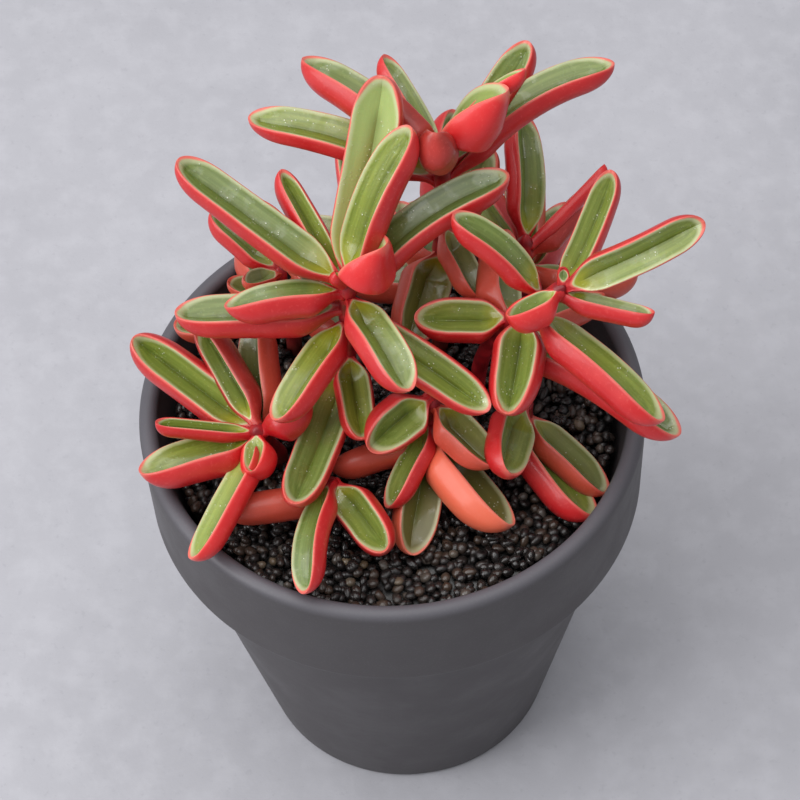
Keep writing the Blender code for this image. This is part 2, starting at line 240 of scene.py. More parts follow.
def pot_profile():
    """The pot's section from its floor up the inner wall, over the lip and down the outside
    to its underside: straight lines joined by arcs."""
    lip = WALL / 2
    shoulder = POT_HEIGHT - BAND_HEIGHT
    corner = inner_radius(FLOOR + COVE) - COVE
    inside = np.vstack([(corner, FLOOR), arc((corner, FLOOR + COVE), COVE, -70, -10, 4)])
    wall_foot = FLOOR + COVE + ARC_GAP
    wall_top = (RIM_RADIUS - WALL, POT_HEIGHT - LIP_HEIGHT)
    wall = np.linspace((inner_radius(wall_foot), wall_foot), wall_top, 12)
    over = arc((RIM_RADIUS - lip, POT_HEIGHT - lip), lip, 180, 0, 21)
    band_foot = (BAND_FOOT_RADIUS, shoulder + BAND_ROUND + ARC_GAP)
    band = np.linspace((RIM_RADIUS, POT_HEIGHT - lip - ARC_GAP), band_foot, 5)
    under = arc((BAND_FOOT_RADIUS - BAND_ROUND, shoulder + BAND_ROUND), BAND_ROUND, 0, -80, 9)
    neck = [under[-1], *(np.array(NECK) + (SHOULDER_RADIUS, shoulder))]
    foot = arc((FOOT_RADIUS - FOOT_ROUND, FOOT_ROUND), FOOT_ROUND, -10, -90, 9)
    taper = np.linspace(neck[-1], foot[0], 14)
    neck = smooth_curve([*neck, taper[1]], 5)[1:]
    return np.vstack([inside, wall, over, band, under, neck, taper[2:-1], foot])


def pot_mesh():
    """The turned section, closed below by two flat rings with the drain holes cut out of
    them, triangulated between their edges, and a short tube joining each pair of holes."""
    places, quads = turned(pot_profile(), POT_STEPS)
    inner, outer = np.arange(POT_STEPS), len(places) - POT_STEPS + np.arange(POT_STEPS)
    turns = np.radians(45 + 360 / DRAIN_HOLES * np.arange(DRAIN_HOLES))
    middles = DRAIN_CIRCLE * np.stack([np.cos(turns), np.sin(turns)], 1)
    last = 360 - 360 / DRAIN_SIDES
    holes = np.vstack([arc(middle, DRAIN_RADIUS, 0, last, DRAIN_SIDES) for middle in middles])
    ring = np.arange(DRAIN_HOLES * DRAIN_SIDES).reshape(DRAIN_HOLES, DRAIN_SIDES)
    low = len(places) + ring
    high = low + len(holes)
    faces = quads.tolist()
    for edge, hole, level in ((outer, low, 0.0), (inner, high, FLOOR)):
        flat = np.vstack([places[edge, :2], holes])
        loops = [np.arange(POT_STEPS), *(POT_STEPS + ring)]
        edges = np.vstack([np.stack([loop, np.roll(loop, -1)], 1) for loop in loops])
        cut = delaunay_2d_cdt(flat.tolist(), edges.tolist(), [], 1, 1e-6)[2]
        cut = np.array([face for face in cut if len(face) == 3])
        centres = flat[cut].mean(1)
        away = np.linalg.norm(centres[:, None] - middles, axis=2).min(1) > DRAIN_RADIUS
        number = np.concatenate([edge, hole.ravel()])
        cut = number[cut[away]]
        faces += (cut[:, ::-1] if level == 0 else cut).tolist()
    next_low, next_high = np.roll(low, -1, 1), np.roll(high, -1, 1)
    faces += np.stack([low, high, next_high, next_low], 2).reshape(-1, 4).tolist()
    pegs = [np.column_stack([holes, np.full(len(holes), level)]) for level in (0.0, FLOOR)]
    return np.vstack([places, *pegs]), faces


solid("charcoal_pot", *pot_mesh(), charcoal, "pot", "pot")


# The potting mix
# Damp peat and bark that fills the pot up to the grit. It is hidden under the grit, so the
# CAD solid stays and gets the mix's dark, crumbly look.

crumb, tree, shader = new_material("damp_potting_mix", Specular_IOR_Level=0.2)
grain = grainy(tree, 0.0016)
mix = blend(tree, grain["Cloud"], paint(30, 22, 17), paint(58, 42, 30))
mix = blend(tree, maths(tree, "MULTIPLY", grain["Speck"], 0.5), mix, paint(92, 68, 46))
tree.links.new(mix, shader.inputs["Base Color"])
tree.links.new(spread(tree, grain["Height"], 0.3, 0.7, 0.75, 0.95), shader.inputs["Roughness"])
lumps = put(tree, "ShaderNodeBump", {"Distance": 0.0006, "Height": grain["Height"]})
tree.links.new(lumps.outputs[0], shader.inputs["Normal"])
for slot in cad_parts["soil"].material_slots:
    slot.material = crumb


# The grit
# A top dressing of washed black and brown grit, poured over the mix and levelled by hand: a
# bed of small round grains lying close together, with more of them scattered on top.

GRIT_BELOW_RIM = 8
GRIT_DEPTH = 5
GAP = 0.3
STEM_RADIUS = 2.0
GRAIN_SPACING = 2.3
LOOSE_GRAINS = 420
WALL_CLEARANCE = 1.5
TIP_SPREAD = 0.4
# Middles of the bed's grains and of the loose ones, above the grit's level
BED_LEVEL = -0.9
LOOSE_LEVEL = 0.1
# How far they are moved: sideways as a share of the spacing, and down and up
SHAKE = 0.33
LEVEL_SPREAD = (-0.45, 0.35)
# Half widths of the smallest and the largest grain
SMALL_GRAIN = (1.15, 0.95, 0.75)
LARGE_GRAIN = (1.85, 1.35, 1.1)
GROUND = POT_HEIGHT - GRIT_BELOW_RIM
LEFT_FEET = ((-10, 3), (-26, -8), (-15, -24.5), (-22, 24), (-5, 42))
RIGHT_FEET = ((19, 3), (12, 22), (9, -12), (29, -7), (30, 22))
STEM_FEET = np.array([*LEFT_FEET, *RIGHT_FEET])


def grain_places(draw):
    """Middles of the grains: a hexagonal lattice shaken by a third of its spacing, and loose
    grains thrown evenly over the disc half a grain higher, none of them in a stem."""
    reach = inner_radius(GROUND) - WALL_CLEARANCE
    rows = np.arange(-reach, reach, GRAIN_SPACING * np.sqrt(3) / 2)
    columns = np.arange(-reach, reach, GRAIN_SPACING)
    x = columns + (np.arange(len(rows)) % 2)[:, None] * GRAIN_SPACING / 2
    bed = np.stack([x, rows[:, None] + 0 * x], 2).reshape(-1, 2)
    bed += draw.uniform(-SHAKE, SHAKE, bed.shape) * GRAIN_SPACING
    loose = draw.uniform(-reach, reach, (LOOSE_GRAINS * 4 // 3, 2))
    level = np.concatenate([np.full(len(bed), BED_LEVEL), np.full(len(loose), LOOSE_LEVEL)])
    flat = np.vstack([bed, loose])
    level += draw.uniform(*LEVEL_SPREAD, len(flat))
    from_stem = np.linalg.norm(flat[:, None] - STEM_FEET, axis=2).min(1)
    clear = from_stem > STEM_RADIUS + LARGE_GRAIN[2]
    keep = clear & (np.linalg.norm(flat, axis=1) < reach)
    return np.column_stack([flat, GROUND + level])[keep]


def closed_grid(rows, sides):
    """Face corners of a tube of so many rings of so many sides, with a pole vertex before
    the first ring and one after the last: quads between rings, triangles to the poles."""
    here, there = 1 + np.arange(sides), 1 + (np.arange(sides) + 1) % sides
    row = np.arange(rows - 1)[:, None] * sides
    quads = np.stack([row + here, row + there, row + sides + there, row + sides + here], 2)
    last = (rows - 1) * sides
    low = np.stack([0 * here, there, here], 1)
    high = np.stack([last + here, last + there, 0 * here + rows * sides + 1], 1)
    return quads.reshape(-1, 4), np.vstack([low, high])


def unit_ball(sides, bands):
    """Places of a unit sphere: sin b high, and cos b from the axis all round, with poles."""
    a = np.linspace(0, 2 * np.pi, sides, endpoint=False)
    b = np.linspace(-np.pi / 2, np.pi / 2, bands + 1)[1:-1, None]
    ring = np.stack([np.cos(b) * np.cos(a), np.cos(b) * np.sin(a), np.sin(b) + 0 * a], 2)
    return np.vstack([(0, 0, -1), ring.reshape(-1, 3), (0, 0, 1)])


def ball_faces(count, sides, bands):
    """Face corners of so many balls one after the other."""
    step = np.arange(count)[:, None, None] * ((bands - 1) * sides + 2)
    quads, caps = closed_grid(bands - 1, sides)
    return (quads + step).reshape(-1, 4).tolist() + (caps + step).reshape(-1, 3).tolist()


def grain_mesh(draw, middles, sides=8, bands=5):
    """Round grains: a unit sphere of sides by bands, pushed in and out by two slow waves, then
    stretched by three half widths, tipped by a normal draw of 0.4 radians, turned by any angle
    and set in its place."""
    count = len(middles)
    ball = unit_ball(sides, bands)
    phase = draw.uniform(0, 2 * np.pi, (2, count, 1))
    swell = 1 + 0.10 * np.sin(2.3 * ball[:, 0] + phase[0])
    swell = swell + 0.08 * np.sin(3.1 * ball[:, 1] + phase[1])
    half = draw.uniform(SMALL_GRAIN, LARGE_GRAIN, (count, 3))
    shape = ball * swell[..., None] * half[:, None]
    yaw, tip = draw.uniform(0, 2 * np.pi, count), draw.normal(0, TIP_SPREAD, count)
    zero, one = 0 * yaw, 0 * yaw + 1
    cos, sin = np.cos(yaw), np.sin(yaw)
    turn = np.array([[cos, -sin, zero], [sin, cos, zero], [zero, zero, one]])
    cos, sin = np.cos(tip), np.sin(tip)
    tilt = np.array([[cos, zero, sin], [zero, one, zero], [-sin, zero, cos]])
    spin = np.einsum("ijn,jkn->nik", turn, tilt)
    places = np.einsum("nik,npk->npi", spin, shape) + middles[:, None]
    return places.reshape(-1, 3), ball_faces(count, sides, bands), len(ball)


def bed_mesh(start):
    """A plate that the grains are set in: a rectangle with its upper rim cut off, turned about
    the axis from a hundredth of a millimetre out."""
    low, high = GROUND - GRIT_DEPTH, GROUND - GRIT_DEPTH / 2
    rim, middle = inner_radius(low) - 2 * GAP, 0.01
    profile = [(middle, low), (rim, low), (rim, high - 0.5), (rim - 1, high), (middle, high)]
    places, faces = turned(np.array(profile), 96)
    return places, (faces[:, ::-1] + start).tolist()


pebble, tree, shader = new_material("washed_grit", Specular_IOR_Level=0.6)
grain = grainy(tree, 0.0005)
tone = put(tree, "ShaderNodeAttribute", attribute_name="grain_tone").outputs["Fac"]
stone = put(tree, "ShaderNodeValToRGB", {0: tone})
ramp = stone.color_ramp
ramp.elements[0].color, ramp.elements[1].color = paint(6, 6, 6), paint(122, 104, 78)
stones = ((0.05, (22, 20, 20)), (0.45, (38, 33, 31)), (0.7, (66, 52, 42)), (0.86, (84, 78, 72)))
for at, colour in stones:
    ramp.elements.new(at).color = paint(*colour)
flecks = maths(tree, "MULTIPLY", grain["Speck"], 0.3)
mineral = blend(tree, flecks, stone.outputs[0], paint(120, 112, 104))
tree.links.new(mineral, shader.inputs["Base Color"])
tree.links.new(spread(tree, grain["Cloud"], 0.3, 0.7, 0.14, 0.4), shader.inputs["Roughness"])
pits = put(tree, "ShaderNodeBump", {"Strength": 0.5, "Distance": 0.0001, "Height": grain["Height"]})
tree.links.new(pits.outputs[0], shader.inputs["Normal"])

draw = np.random.default_rng(11)
middles = grain_places(draw)
places, faces, corners = grain_mesh(draw, middles)
bed, bed_faces = bed_mesh(len(places))
grit = solid("grit_grains", np.vstack([places, bed]), faces + bed_faces, pebble, "grit", "grit")
tones = np.repeat(draw.beta(1.3, 2.2, len(middles)), corners)
# The bed under the grains takes the darkest grit tone: partly grit lower down, partly painted shade in
# the gaps between grains
tones = np.concatenate([tones, np.zeros(len(bed))])
grit.data.attributes.new("grain_tone", "FLOAT", "POINT").data.foreach_set("value", tones)


# The shoots
# Ten shoots of one peperomia, rooted through the grit into the mix. Each is a ruby stem with
# thick, waxy leaves on short stalks, folded up along the middle like small boats: a green
# channel above, a pale line and a coral edge round it, and a ruby hull below.

ROOT_DEPTH = 14
STEM_TIP_RADIUS = 1.5
# How much a stem swells at a leaf's foot, and over how many millimetres
JOINT_SWELL = 0.2
JOINT_LENGTH = 1.6
PETIOLE = 1.35
STALK = 1
BLUNTNESS = 2.4
# How much a leaf narrows at its tip, and from what share of its length on
SLIMMING = 0.14
SLIM_FROM = 0.4
# A flat leaf's depth as a share of its half width
HULL_DEPTH = 0.9
# The channel's share of a flat leaf's width, and how much of it a full fold closes
OPEN_CHANNEL = 0.92
CLOSED_BY = 0.45
# The channel's depth as a share of the leaf's, and how far its foot stands above the axis
GROOVE = 0.36
GROOVE_LIFT = 0.15
EDGE_SWAY = 0.025

# Leaf colour: how old and dull, how pale above, and how deep its red is below, from 0 to 1
FINISHES = {
    "fresh": (0.0, 0.0, 0.35),
    "pale": (0.0, 0.75, 0.2),
    "pink": (0.0, 0.35, 0.0),
    "deep": (0.15, 0.0, 1.0),
    "dull": (0.5, 0.1, 0.7),
    "old": (1.0, 0.0, 0.1),
}

# Points of each stem as x, y and height above the grit. Each leaf: drop below the stem's tip,
# bearing from +X, rise above level, length, width, fold, twist, curl and colour. Most leaves'
# numbers come from a program that fitted them to the plant's picture, and were then rounded;
# about twenty leaves and all the stems were set one by one.
SHOOTS = {
    "left": (
        ((-10, 3, 0), (-9, 2, 25), (-8, -1, 54)),
        (
            (1.5, 147, 24, 45, 9.5, 0.3, 4, -8, "fresh"),
            (4, 119, 29, 30, 6.5, 0.85, 4, -12, "fresh"),
            (4.5, 66, 59, 49.5, 11.5, 0.1, 5, -6, "pale"),
            (1.5, 44, 57, 40.5, 10, 0.37, -17, -46, "fresh"),
            (4.5, 24, 24, 45.5, 9.5, 0.36, -4, -66, "fresh"),
            (0, 352, 56, 17.5, 13, 0.55, -24, -76, "pink"),
            (4, 187, 3, 27, 9.5, 0.41, 27, -38, "fresh"),
            (10.5, 178, 0, 37.5, 10.5, 0.36, 10, -10, "fresh"),
            (5.5, 295, -1, 29.5, 10, 0.5, -15, -46, "fresh"),
            (14.5, 236, -5, 30, 9.5, 0.35, 27, -22, "fresh"),
            (13.5, 321, -8, 39, 9.5, 0.6, 18, -40, "fresh"),
            (28.5, 276, -11, 22, 8.5, 0.57, -6, -14, "fresh"),
            (33.5, 250, -1, 39, 10, 0.25, -2, 3, "fresh"),
            (11.5, 127, 10, 35, 8, 0.4, -6, -10, "dull"),
            (22, 110, -18, 29.5, 10, 0.52, 39, -3, "dull"),
            (0, 200, 60, 5, 2.8, 0.6, 0, 0, "fresh"),
        ),
    ),
    "right": (
        ((19, 3, 0), (21, 1, 22), (27, -3, 40), (38, -8, 57)),
        (
            (2.5, 62, 17, 30, 7, 0.5, -6, 30, "fresh"),
            (1.5, 10, 23, 34.5, 8, 0.31, 49, -48, "fresh"),
            (2.5, 341, -2, 21, 5, 0.79, -17, 4, "fresh"),
            (1, 210, 3, 14, 7.5, 1, 6, 0, "pink"),
            (8, 155, 44, 29.5, 8, 0.47, 10, -56, "fresh"),
            (20, 177, 2, 21.5, 10, 0.64, -22, -11, "fresh"),
            (15, 256, -21, 23.5, 11.5, 0.74, 0, 2, "fresh"),
            (13, 315, -12, 38.5, 10.5, 0.32, -34, -24, "fresh"),
            (27, 326, -10, 46.5, 10.5, 0.32, -20, -40, "fresh"),
            (21.5, 86, 0, 25, 10.5, 0.49, 53, 5, "dull"),
            (33.5, 25, -1, 29, 9, 0.33, -32, -24, "dull"),
            (0.5, 88, 60, 4.5, 2.6, 0.5, 0, 0, "fresh"),
        ),
    ),
    "back": (
        ((12, 22, 0), (13, 22, 35), (14, 20, 70)),
        (
            (11, 162, 13, 45.5, 9.5, 0.18, 5, -47, "fresh"),
            (5, 139, 14, 40, 10, 0.4, 28, -40, "fresh"),
            (4, 118, 27, 27, 6.5, 0.5, 35, -20, "fresh"),
            (0, 137, 27, 18, 8.5, 0.3, 85, -12, "deep"),
            (0, 258, 62, 18, 8.5, 0.9, 0, -36, "deep"),
            (0, 5, 50, 24, 13.5, 0.5, -32, -80, "pink"),
            (5, 23, 46, 30, 5.5, 0.3, -48, -60, "pink"),
            (7, 46, 30, 33.5, 8.5, 0.46, -4, -1, "fresh"),
            (12, 21, 26, 48.5, 9, 0.33, -18, -71, "fresh"),
            (30.5, 51, 30, 22.5, 10, 0.39, 16, 5, "dull"),
            (26, 296, -20, 19.5, 7.5, 0.49, -28, -21, "dull"),
            (35, 249, -17, 24.5, 11.5, 0.39, -37, -11, "dull"),
            (26, 81, 5, 31, 8.5, 0.56, 42, 2, "fresh"),
            (39.5, 111, -13, 24.5, 10, 0.71, 17, -3, "dull"),
            (45, 164, -9, 23.5, 10.5, 0.41, 18, 9, "dull"),
        ),
    ),
    "low_left": (
        ((-26, -8, 0), (-28, -12, 12), (-30, -16, 23)),
        (
            (3, 144, 19, 35, 10.5, 0.76, -22, 11, "fresh"),
            (1, 120, 23, 26.5, 8, 0.94, -41, 0, "deep"),
            (7, 93, 25, 28, 10, 0.41, -55, -29, "dull"),
            (3, 180, 15, 23, 4.5, 0.95, -4, -6, "fresh"),
            (6, 196, 0, 28.5, 11, 0.43, 21, -24, "fresh"),
            (1.5, 262, 3, 11.5, 8, 0.9, 15, 0, "pink"),
            (3.5, 242, -7, 33.5, 8.5, 0.23, 42, -2, "pink"),
            (2.5, 20, 28, 14, 8.5, 0.5, -80, -5, "fresh"),
        ),
    ),
    "middle": (
        ((9, -12, 0), (9, -12, 26)),
        (
            (0, 215, -15, 18.5, 11.5, 0.7, -40, -19, "fresh"),
            (9, 237, -21, 22.5, 8.5, 0.11, 43, -18, "fresh"),
            (14.5, 256, -17, 28.5, 10.5, 0.44, -27, -6, "old"),
            (2.5, 313, -15, 20, 10, 0.42, -21, -18, "dull"),
            (12.5, 304, -10, 29, 13, 0.4, -46, -3, "old"),
            (16.5, 194, -1, 24.5, 8, 0.29, 85, -24, "dull"),
        ),
    ),
    "front": (
        ((-15, -24.5, 0), (-14, -24, 13)),
        (
            (0, 257, 2, 31.5, 8, 0.33, 43, -52, "fresh"),
            (0, 300, -1, 22, 9.5, 0.57, 27, -4, "fresh"),
            (3.5, 187, 0, 24.5, 8, 0.4, 87, -4, "dull"),
        ),
    ),
    "low_right": (
        ((29, -7, 0), (30, -8, 16)),
        (
            (0, 256, 13, 23.5, 11, 0.28, -50, 4, "fresh"),
            (6.5, 301, -13, 28, 12, 0.3, -38, 10, "fresh"),
            (5, 317, -21, 26, 9.5, 0.33, -28, -21, "dull"),
        ),
    ),
    "back_right": (
        ((30, 22, 0), (32, 22, 38)),
        (
            (4, 87, 42, 30, 9, 0.39, 44, -39, "fresh"),
            (4, 37, 22, 25.5, 4, 0.35, -69, 2, "pink"),
            (7, 42, 22, 18, 7.5, 0.45, -60, -2, "deep"),
            (10.5, 353, -3, 26, 9.5, 0.42, -44, 12, "dull"),
            (11, 116, 2, 28, 9.5, 0.41, -60, -10, "fresh"),
            (17, 64, -4, 27, 9, 0.52, -23, -17, "fresh"),
            (21, 85, 22, 37, 9.5, 0.37, -18, -3, "dull"),
        ),
    ),
    "back_left": (
        ((-22, 24, 0), (-24, 26, 26)),
        (
            (1.5, 140, 24, 21, 7.5, 0.35, 16, -20, "fresh"),
            (8, 172, 12, 13, 6, 0.4, -4, 3, "dull"),
            (14, 115, 0, 23, 9, 0.54, 19, -7, "dull"),
            (14, 194, 9, 27, 9, 0.46, -9, -19, "dull"),
            (1, 225, 30, 12, 5.5, 0.4, 0, -20, "dull"),
        ),
    ),
    "rear": (
        ((-5, 42, 0), (-5, 43, 20)),
        (
            (1.5, 93, 16, 25.5, 8.5, 0.46, 0, -10, "fresh"),
            (4, 164, -1, 18, 8, 0.41, 5, -9, "dull"),
            (4, 29, -8, 22, 8, 0.43, -8, -3, "dull"),
            (1.5, 241, 40, 12, 6, 0.4, -10, 0, "dull"),
        ),
    ),
}


def stem_path(points):
    """A stem's axis: straight up through the mix and grit, then smooth through its points."""
    x, y, _ = points[0]
    above = [(x, y, 2), *points[1:]]
    path = smooth_curve(above, 14)
    below = np.linspace((x, y, -ROOT_DEPTH), (x, y, 0), 6)
    return np.vstack([below, path]) + (0, 0, GROUND)


def run_along(path):
    """Distance from a path's first point to each of its points."""
    return np.concatenate([[0], np.cumsum(np.linalg.norm(np.diff(path, axis=0), axis=1))])


def stem_mesh(path, drops, sides=20):
    """A round tube along the path. Its radius shrinks evenly to the tip, ends in a dome, and
    swells by a fifth in a bell curve at every leaf's foot."""
    run = run_along(path)
    from_tip = run[-1] - run
    radius = STEM_RADIUS + (STEM_TIP_RADIUS - STEM_RADIUS) * run / run[-1]
    joints = np.exp(-(((from_tip[:, None] - np.array(drops)) / JOINT_LENGTH) ** 2)).sum(1)
    radius = radius * (1 + JOINT_SWELL * np.clip(joints, 0, 1))
    dome = 1 - (1 - from_tip / STEM_TIP_RADIUS).clip(0, 1) ** 2
    radius = radius * np.sqrt(np.clip(dome, 0.02, 1))
    ahead = np.gradient(path, axis=0)
    ahead /= np.linalg.norm(ahead, axis=1)[:, None]
    side = np.cross(ahead, (0.0, 1.0, 0.0))
    side /= np.linalg.norm(side, axis=1)[:, None]
    other = np.cross(ahead, side)
    a = np.linspace(0, 2 * np.pi, sides, endpoint=False)[:, None]
    rings = path[:, None] + radius[:, None, None] * (
        np.cos(a) * side[:, None] + np.sin(a) * other[:, None]
    )
    places = np.vstack([path[0], rings.reshape(-1, 3), path[-1]])
    return places, *closed_grid(len(path), sides)


def leaf_outline(along, length, half_width):
    """Half width along a leaf: the stalk's at its foot, widened to the blade's by a quarter of
    a sine wave to the power 1.3, and narrowed by a seventh in a parabola towards the tip."""
    swell = np.clip((along - 0.03 - STALK / length) / (1.5 / length + 0.2), 0, 1)
    swell = np.sin(np.pi / 2 * swell) ** 1.3
    slim = 1 - SLIMMING * np.clip((along - SLIM_FROM) / (1 - SLIM_FROM), 0, 1) ** 2
    return PETIOLE + (half_width - PETIOLE) * swell * slim


def leaf_axis(root, bearing, rise, length, twist, curl, along):
    """Places along a leaf's axis, a circular arc that turns by the curl, with the direction
    across it and the direction out of its upper face, both turned about it by the twist."""
    bearing, rise, twist, curl = np.radians([bearing, rise, twist, curl])
    ahead = np.array([np.cos(rise) * np.cos(bearing), np.cos(rise) * np.sin(bearing), np.sin(rise)])
    up = np.array([-np.sin(rise) * np.cos(bearing), -np.sin(rise) * np.sin(bearing), np.cos(rise)])
    side = np.cross(ahead, up)
    up, side = (
        up * np.cos(twist) + side * np.sin(twist),
        side * np.cos(twist) - up * np.sin(twist),
    )
    angle = curl * (along - 0.5)
    reach = np.sin(angle) + np.sin(curl / 2) if curl else along
    lift = np.cos(curl / 2) - np.cos(angle) if curl else along * 0
    scale = length / (curl if curl else 1)
    places = root + scale * (reach[:, None] * ahead + lift[:, None] * up)
    ups = np.cos(angle)[:, None] * up - np.sin(angle)[:, None] * ahead
    return places, side, ups


# The weights that carry the twelve points of half a section, from the midrib's crease over
# the edge to the keel, to the 23 points of a smooth line, and the way round both halves
SECTION = smooth_curve(np.eye(12), 2)
LOOP = np.concatenate([np.arange(23), np.arange(21, 0, -1)])
SIGN = np.concatenate([np.ones(23), -np.ones(21)])


def leaf_form(root, bearing, rise, length, width, fold, twist, curl):
    """A boat-shaped leaf. Half a section runs from the midrib's crease up the channel's side,
    over the rounded edge and down the hull to the keel; it is mirrored, scaled by the outline,
    closed by a blunt oval and carried along the axis. The more it is folded, the deeper the
    hull and the narrower the channel. Its border field is 1 on the green channel's border."""
    brim = OPEN_CHANNEL - CLOSED_BY * fold**2
    blade_end = 1 - np.clip(0.05 + 0.75 * width / length, 0.18, 0.5)
    last = blade_end + (1 - blade_end) * np.sin(np.linspace(0, np.pi / 2, 23))[1:-1]
    along = np.concatenate([np.linspace(0.01, blade_end, 27), last])
    end = np.clip((along - blade_end) / (1 - blade_end), 0, 1)
    closing = np.sqrt(1 - end**BLUNTNESS)
    half = leaf_outline(along, length, width / 2) * closing
    depth = half * (HULL_DEPTH + fold) + 0.3 * PETIOLE * closing
    foot = STALK / length + 0.06
    hollow = np.clip((along - foot) / (0.12 + 2 / length), 0, 1)
    hollow = hollow * np.clip((1 - along) / 0.06, 0, 1)
    groove = depth * GROOVE * hollow - GROOVE_LIFT
    over = (brim + 1) / 2 + 0.03
    inner = [share * brim for share in (0, 0.07, 0.32, 0.62, 0.86, 1)]
    across = SECTION @ [*inner, over, 1, 0.95, 0.71, 0.38, 0]
    low = SECTION @ [-1.08, -0.97, -0.68, -0.33, -0.07, 0, 0, 0, 0, 0, 0, 0]
    deep = SECTION @ [0, 0, 0, 0, 0.02, 0.05, -0.07, -0.32, -0.58, -0.82, -0.96, -1]
    gone = SECTION @ [*inner, *(brim + step for step in (0.2, 0.4, 0.55, 0.7, 0.85, 1))]
    wide = half[:, None] * across[LOOP] * SIGN
    out = groove[:, None] * low[LOOP] + depth[:, None] * deep[LOOP]
    places, side, ups = leaf_axis(root, bearing, rise, length, twist, curl, np.append(along, 1))
    rings = places[:-1, None] + wide[..., None] * side + out[..., None] * ups[:-1, None]
    tip_edge = 1 - 0.8 / ((1 - blade_end) * length)
    base = np.clip(1 - (along - foot) / (0.06 + 2 / length), 0, 1.6)
    flat = gone[LOOP] / (0.97 * brim) * closing[:, None]
    border = np.sqrt(flat**2 + (end / tip_edge)[:, None] ** 2 + base[:, None] ** 2)
    return rings, places, ups, along, border, gone[LOOP] / (brim + 1)


def leaf_mesh(root, bearing, rise, length, width, fold, twist, curl, finish, draw):
    """The form's rings with a pole at each end, its two edges moved in and out by a slow wave.
    Each vertex's field is its border field, how far round the section it is, and how far
    along the leaf."""
    made = leaf_form(root, bearing, rise, length, width, fold, twist, curl)
    rings, places, ups, along, border, around = made
    middle = rings.mean(1, keepdims=True)
    sway = np.sin(2 * np.pi * (1.3 * along[:, None] + draw.uniform()) + SIGN)
    rings = middle + (rings - middle) * (1 + EDGE_SWAY * sway[..., None])
    foot = places[0] - 0.8 * ups[0]
    points = np.vstack([foot, rings.reshape(-1, 3), places[-1]])
    around = np.broadcast_to(around, border.shape)
    far = np.broadcast_to(along[:, None], border.shape)
    field = np.stack([border, around, far], 2).reshape(-1, 3)
    field = np.vstack([(2, 0.5, 0), field, (1.1, 0.5, 1)])
    kind = np.broadcast_to((*FINISHES[finish][:2], draw.uniform()), field.shape)
    depth_of_red = np.full(len(field), FINISHES[finish][2])
    return points, *closed_grid(len(along), len(LOOP)), field, kind, depth_of_red


def shoot_mesh(name, points, leaves, draw):
    """One shoot: its stem's and leaves' meshes put end to end in one mesh."""
    path = stem_path(points)
    run = run_along(path)
    places, quads, tris = stem_mesh(path, [leaf[0] for leaf in leaves])
    share = ((places[:, 2] - GROUND) / (path[-1, 2] - GROUND)).clip(0, 1)
    fields = [np.stack([0 * share + 2, 0 * share + 0.6, share], 1)]
    kinds, reds = [np.zeros((len(places), 3))], [0 * share + 0.8]
    every, fours, threes = [places], [quads], [tris]
    skin_fours, skin_threes = [0] * len(quads), [0] * len(tris)
    start = len(places)
    for leaf in leaves:
        root = np.array([np.interp(run[-1] - leaf[0], run, path[:, k]) for k in range(3)])
        points, quads, tris, field, kind, red = leaf_mesh(root, *leaf[1:], draw)
        every.append(points)
        fours.append(quads + start)
        threes.append(tris + start)
        skin_fours += [1] * len(quads)
        skin_threes += [1] * len(tris)
        fields.append(field)
        kinds.append(kind)
        reds.append(red)
        start += len(points)
    faces = np.vstack(fours).tolist() + np.vstack(threes).tolist()
    node = "shoot_" + name
    made = solid(name + "_shoot", np.vstack(every), faces, stem_skin, node, "foliage")
    made.data.materials.append(leaf_skin)
    made.data.polygons.foreach_set("material_index", skin_fours + skin_threes)
    for title, kind, values in (
        ("leaf_field", "FLOAT_VECTOR", fields),
        ("leaf_kind", "FLOAT_VECTOR", kinds),
        ("leaf_red", "FLOAT", reds),
    ):
        slot = "vector" if kind == "FLOAT_VECTOR" else "value"
        values = np.concatenate(values).ravel().astype(np.float32)
        made.data.attributes.new(title, kind, "POINT").data.foreach_set(slot, values)


def attribute(tree, name):
    """A mesh attribute's three numbers, and all three as one vector."""
    whole = put(tree, "ShaderNodeAttribute", attribute_name=name).outputs["Vector"]
    parts = put(tree, "ShaderNodeSeparateXYZ", {0: whole}).outputs
    return parts[0], parts[1], parts[2], whole


leaf_skin, tree, shader = new_material(
    "waxy_leaf",
    Subsurface_Weight=0.12,
    Subsurface_Radius=(0.9, 0.3, 0.15),
    Subsurface_Scale=0.0015,
    Coat_Roughness=0.08,
)
place = put(tree, "ShaderNodeTexCoord").outputs["Object"]
channel, around, along, field = attribute(tree, "leaf_field")
age, pale, seed, _ = attribute(tree, "leaf_kind")
red = put(tree, "ShaderNodeAttribute", attribute_name="leaf_red").outputs["Fac"]
cloud = noise(tree, place, 160.0, 3.0)
fine = noise(tree, place, 1400.0, 2.0)
# Veins: cloudy noise drawn out along the leaf, close together round its section
stretch = put(tree, "ShaderNodeVectorMath", {0: field, 1: (2.5, 16.0, 1.5)}, operation="MULTIPLY")
shift = put(tree, "ShaderNodeVectorMath", {0: stretch.outputs[0], 1: place}, operation="ADD")
vein = noise(tree, shift.outputs[0], 1.0, 3.0)
channel = maths(tree, "ADD", channel, spread(tree, cloud, 0.2, 0.8, -0.03, 0.03))
fresh_green = blend(tree, seed, paint(94, 110, 20), paint(80, 100, 36))
bright_green = blend(tree, seed, paint(154, 166, 64), paint(128, 146, 82))
green = blend(tree, spread(tree, vein, 0.0, 1.0), fresh_green, bright_green)
speck = maths(tree, "MULTIPLY", spread(tree, fine, 0.55, 0.75), 0.15)
green = blend(tree, speck, green, paint(186, 200, 130))
green = blend(tree, pale, green, paint(176, 194, 118))
green = blend(tree, maths(tree, "MULTIPLY", age, 0.85), green, paint(104, 98, 56))
green = blend(tree, spread(tree, along, 0.36, 0.08, 0.0, 0.7), green, paint(160, 154, 14))
# Darker olive green towards the midrib: partly the leaf's own colour, partly painted shade in its
# crease
green = blend(tree, spread(tree, channel, 0.5, 0.0, 0.0, 0.5), green, paint(84, 96, 22))
